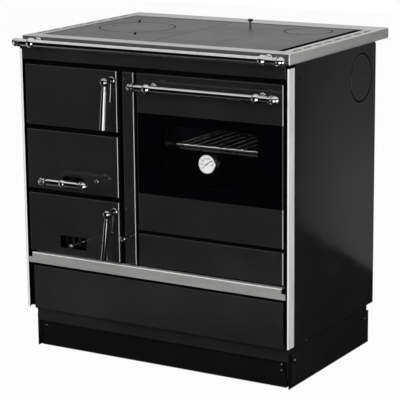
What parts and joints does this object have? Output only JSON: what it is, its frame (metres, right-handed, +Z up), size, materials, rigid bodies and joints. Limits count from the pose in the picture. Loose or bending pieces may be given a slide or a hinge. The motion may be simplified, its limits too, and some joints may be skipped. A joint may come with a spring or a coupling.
{
  "type": "wood cookstove",
  "caption": "Black enamelled wood-burning kitchen range with a firebox and ash box beside a glazed oven, a cast-iron hob in a steel rim with a towel rail, and a wood drawer above the plinth.",
  "frame": {"origin": "on the floor at the centre of the space the stove takes up, rail, knobs and rim included", "axes": "+X to the right seen from the front, +Y to the back, +Z up"},
  "size_m": [0.8, 0.6355, 0.875],
  "materials": {
    "enamel_black": "gloss enamel",
    "stainless": "brushed",
    "cast_iron": "ground and oiled",
    "chrome": "polished",
    "galvanised": "zinc coated",
    "sheet_steel": "heat-proof black",
    "oven_enamel": "speckled enamel",
    "rack_wire": "plated wire",
    "firebrick": "rough",
    "mineral_board": "fibrous",
    "seal_rope": "braided glass fibre",
    "dark_glass": "tinted, polished",
    "black_knob": "gloss",
    "dial_white": "satin",
    "needle_dark": "satin"
  },
  "bodies": {
    "stove": {"back_panel": "galvanised", "base_frame": "enamel_black", "body_floor": "galvanised", "centre_column": "enamel_black", "cooktop_left": "cast_iron", "cooktop_right": "cast_iron", "cooktop_support": "sheet_steel", "corner_posts": "stainless", "door_brackets": "sheet_steel", "fascia": "enamel_black", "firebox_shell": "sheet_steel", "firebricks": "firebrick", "flue_casing": "sheet_steel", "flue_guides": "sheet_steel", "flue_hood": "sheet_steel", "front_plate": "sheet_steel", "grate_frame": "cast_iron", "insulation_boards": "mineral_board", "ledge_strip": "stainless", "levelling_feet": "galvanised", "lower_front_panel": "enamel_black", "mid_shelf": "galvanised", "middle_panel": "enamel_black", "oven_box": "oven_enamel", "plinth_skirt": "enamel_black", "rail_brackets": "chrome", "rear_flue_collar": "sheet_steel", "screws": "chrome", "side_flue_blank": "enamel_black", "side_panel_left": "enamel_black", "side_panel_right": "enamel_black", "top_frame": "stainless", "towel_rail": "chrome"},
    "fire_door": {"fire_door": "enamel_black", "fire_door_liner": "cast_iron"},
    "fire_handle": {"fire_door_handle": "chrome"},
    "ash_door": {"ash_door": "enamel_black", "ash_door_liner": "cast_iron"},
    "ash_handle": {"ash_door_handle": "chrome"},
    "air_slider": {"air_slider": "chrome"},
    "ash_pan": {"ash_pan": "galvanised"},
    "shaker": {"shaker_handle": "chrome", "grate": "cast_iron"},
    "oven_door": {"oven_door": "enamel_black", "oven_door_liner": "sheet_steel", "oven_glass": "dark_glass", "oven_door_seal": "seal_rope", "oven_handle_bar": "chrome", "oven_handle_brackets": "chrome", "thermometer_case": "chrome", "thermometer_dial": "dial_white"},
    "needle": {"thermometer_needle": "needle_dark"},
    "oven_rack": {"oven_rack": "rack_wire"},
    "oven_damper": {"oven_damper": "chrome"},
    "start_damper": {"start_damper": "chrome", "start_damper_knob": "black_knob"},
    "ring_lid": {"ring_lid": "cast_iron"},
    "top_flue_cover": {"top_flue_cover": "cast_iron"},
    "wood_drawer": {"drawer_front": "enamel_black", "drawer_box": "galvanised"}
  },
  "joints": [
    {"name": "fire_door_hinge", "type": "hinge", "parent": "stove", "child": "fire_door", "pos_m": [-0.377, -0.24525, 0.697], "axis": [0, 0, -1], "range_deg": [0, 110]},
    {"name": "ash_door_hinge", "type": "hinge", "parent": "stove", "child": "ash_door", "pos_m": [-0.377, -0.24525, 0.354], "axis": [0, 0, -1], "range_deg": [0, 110]},
    {"name": "fire_handle_turn", "type": "hinge", "parent": "fire_door", "child": "fire_handle", "pos_m": [-0.109, -0.25325, 0.7525], "axis": [0, 1, 0], "range_deg": [0, 80]},
    {"name": "ash_handle_turn", "type": "hinge", "parent": "ash_door", "child": "ash_handle", "pos_m": [-0.109, -0.25325, 0.4095], "axis": [0, 1, 0], "range_deg": [0, 80]},
    {"name": "air_slider_slide", "type": "slide", "parent": "ash_door", "child": "air_slider", "axis": [-1, 0, 0], "range_m": [0, 0.068]},
    {"name": "ash_pan_slide", "type": "slide", "parent": "stove", "child": "ash_pan", "axis": [0, -1, 0], "range_m": [0, 0.0768]},
    {"name": "shaker_slide", "type": "slide", "parent": "stove", "child": "shaker", "axis": [0, -1, 0], "range_m": [0, 0.024]},
    {"name": "oven_door_hinge", "type": "hinge", "parent": "stove", "child": "oven_door", "pos_m": [0.173, -0.24525, 0.375], "axis": [1, 0, 0], "range_deg": [0, 90], "stiffness_Nm_per_rad": 3, "springref_deg": -17.19},
    {"name": "thermometer_needle_turn", "type": "hinge", "parent": "oven_door", "child": "needle", "pos_m": [0.173, -0.26125, 0.5635], "axis": [0, 1, 0], "range_deg": [-175, 90]},
    {"name": "oven_rack_slide", "type": "slide", "parent": "stove", "child": "oven_rack", "axis": [0, -1, 0], "range_m": [0, 0.28274]},
    {"name": "oven_damper_slide", "type": "slide", "parent": "stove", "child": "oven_damper", "axis": [0, -1, 0], "range_m": [0, 0.06]},
    {"name": "start_damper_lift", "type": "slide", "parent": "stove", "child": "start_damper", "axis": [0, 0, 1], "range_m": [0, 0.04]},
    {"name": "ring_lid_lift", "type": "slide", "parent": "stove", "child": "ring_lid", "axis": [0, 0, 1], "range_m": [0, 0.05]},
    {"name": "top_flue_cover_lift", "type": "slide", "parent": "stove", "child": "top_flue_cover", "axis": [0, 0, 1], "range_m": [0, 0.05]},
    {"name": "wood_drawer_slide", "type": "slide", "parent": "stove", "child": "wood_drawer", "axis": [0, -1, 0], "range_m": [0, 0.35]}
  ],
  "couplings": [
    {"joint": "oven_rack_slide", "follows": "oven_door_hinge", "m_per_rad": 0.18},
    {"joint": "ash_pan_slide", "follows": "ash_door_hinge", "m_per_rad": 0.04}
  ]
}
